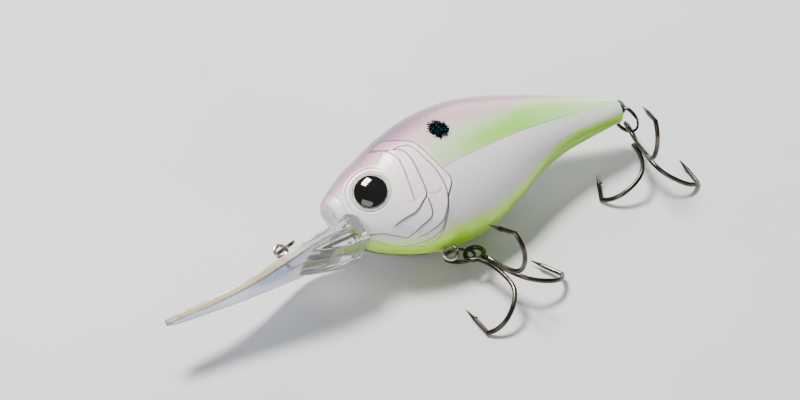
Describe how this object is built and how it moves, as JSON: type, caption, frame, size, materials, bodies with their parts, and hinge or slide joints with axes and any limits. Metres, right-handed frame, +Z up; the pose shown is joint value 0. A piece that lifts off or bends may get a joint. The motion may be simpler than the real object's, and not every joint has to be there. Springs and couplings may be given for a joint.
{
  "type": "crankbait lure",
  "caption": "Deep-diving crankbait: hollow fish-shaped body, long clear diving lip with a line tie on it, and treble hooks hung on split rings, lying at rest on its right flank.",
  "frame": {"origin": "middle of the overall box, on the surface the lure lies on", "axes": "+X from the lip to the tail, +Z up from the surface, the belly and the hooks towards -Y, left flank upward"},
  "size_m": [0.1192, 0.0488, 0.0229],
  "materials": {
    "body_paint": "pearl paint under clear coat",
    "clear_lip": "clear moulded",
    "bright_wire": "bright",
    "dark_nickel": "black nickel",
    "ballast_metal": "dull",
    "iris": "pale foil",
    "pupil": "gloss black",
    "clear_lens": "clear dome"
  },
  "bodies": {
    "lure": {"body_shell_left": "body_paint", "body_shell_right": "body_paint", "diving_lip": "clear_lip", "line_tie": "bright_wire", "belly_hanger": "bright_wire", "tail_hanger": "bright_wire", "belly_ballast": "ballast_metal", "eye_left_iris": "iris", "eye_left_pupil": "pupil", "eye_left_lens": "clear_lens", "eye_right_iris": "iris", "eye_right_pupil": "pupil", "eye_right_lens": "clear_lens"},
    "line_ring": {"line_tie_split_ring": "dark_nickel"},
    "belly_ring": {"belly_split_ring": "dark_nickel"},
    "belly_treble": {"belly_treble_double": "dark_nickel", "belly_treble_single": "dark_nickel"},
    "tail_ring": {"tail_split_ring": "dark_nickel"},
    "tail_treble": {"tail_treble_double": "dark_nickel", "tail_treble_single": "dark_nickel"}
  },
  "joints": [
    {"name": "line_ring_swing", "type": "hinge", "parent": "lure", "child": "line_ring", "pos_m": [-0.0323, 0.00591, 0.01222], "axis": [0.6348, -0.3131, 0.7064], "range_deg": [-20, 40]},
    {"name": "belly_ring_swing", "type": "hinge", "parent": "lure", "child": "belly_ring", "pos_m": [-0.00012, -0.00467, 0.00609], "axis": [0.5401, -0.5073, 0.6715], "range_deg": [-60, 6]},
    {"name": "belly_treble_swing", "type": "hinge", "parent": "belly_ring", "child": "belly_treble", "pos_m": [0.00475, -0.00644, 0.00494], "axis": [0.4129, 0.1602, -0.8966], "range_deg": [-40, 40]},
    {"name": "tail_ring_swing", "type": "hinge", "parent": "lure", "child": "tail_ring", "pos_m": [0.05018, 0.01208, 0.01066], "axis": [-0.3186, 0.7266, -0.6087], "range_deg": [-60, 3]},
    {"name": "tail_treble_swing", "type": "hinge", "parent": "tail_ring", "child": "tail_treble", "pos_m": [0.05169, 0.00906, 0.00549], "axis": [0.356, -0.8013, 0.4807], "range_deg": [-22, 18]}
  ]
}
